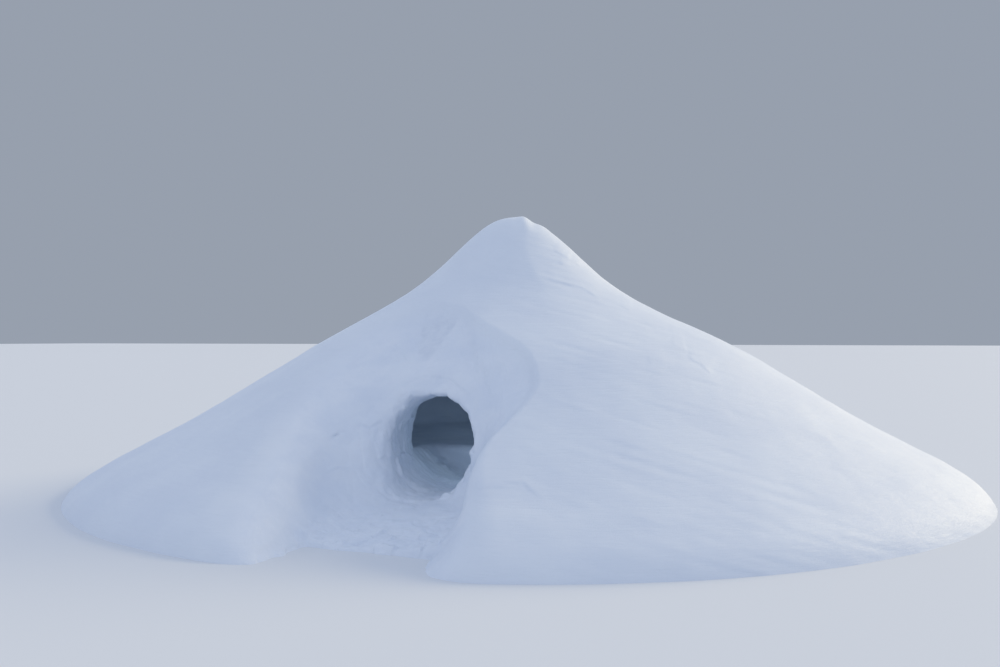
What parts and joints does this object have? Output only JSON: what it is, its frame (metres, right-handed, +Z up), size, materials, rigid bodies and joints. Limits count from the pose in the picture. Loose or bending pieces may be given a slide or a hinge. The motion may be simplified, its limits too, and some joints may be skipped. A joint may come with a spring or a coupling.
{
  "type": "quinzee snow shelter",
  "caption": "Bell-shaped heap of settled snow with a shovelled bowl and an oval crawl tunnel leading to a domed sleeping chamber.",
  "frame": {"origin": "on the floor under the middle of the heap", "axes": "+Z up, the doorway faces -Y, +X to the right of someone who looks in at the doorway"},
  "size_m": [8.7596, 8.7497, 2.7],
  "materials": {
    "heaped_snow": "fine-grained dry snow, matt with a faint sparkle, smoothed by wind outside and by the shovel inside",
    "trodden_snow": "trodden and scraped snow, matt and a little denser"
  },
  "bodies": {
    "root": {"foot_front_left": "heaped_snow", "foot_left": "heaped_snow", "foot_back_left": "heaped_snow", "foot_back": "heaped_snow", "foot_back_right": "heaped_snow", "foot_right": "heaped_snow", "foot_front_right": "heaped_snow", "door_jamb_left": "heaped_snow", "door_jamb_right": "heaped_snow", "door_arch": "heaped_snow", "wall_front_left": "heaped_snow", "wall_left": "heaped_snow", "wall_back_left": "heaped_snow", "wall_back": "heaped_snow", "wall_back_right": "heaped_snow", "wall_right": "heaped_snow", "wall_front_right": "heaped_snow", "roof_front": "heaped_snow", "roof_left": "heaped_snow", "roof_back": "heaped_snow", "roof_right": "heaped_snow", "peak_cap": "heaped_snow", "tunnel_floor": "trodden_snow", "door_apron": "trodden_snow", "cold_well_floor": "trodden_snow", "sleeping_platform": "trodden_snow"}
  },
  "joints": []
}
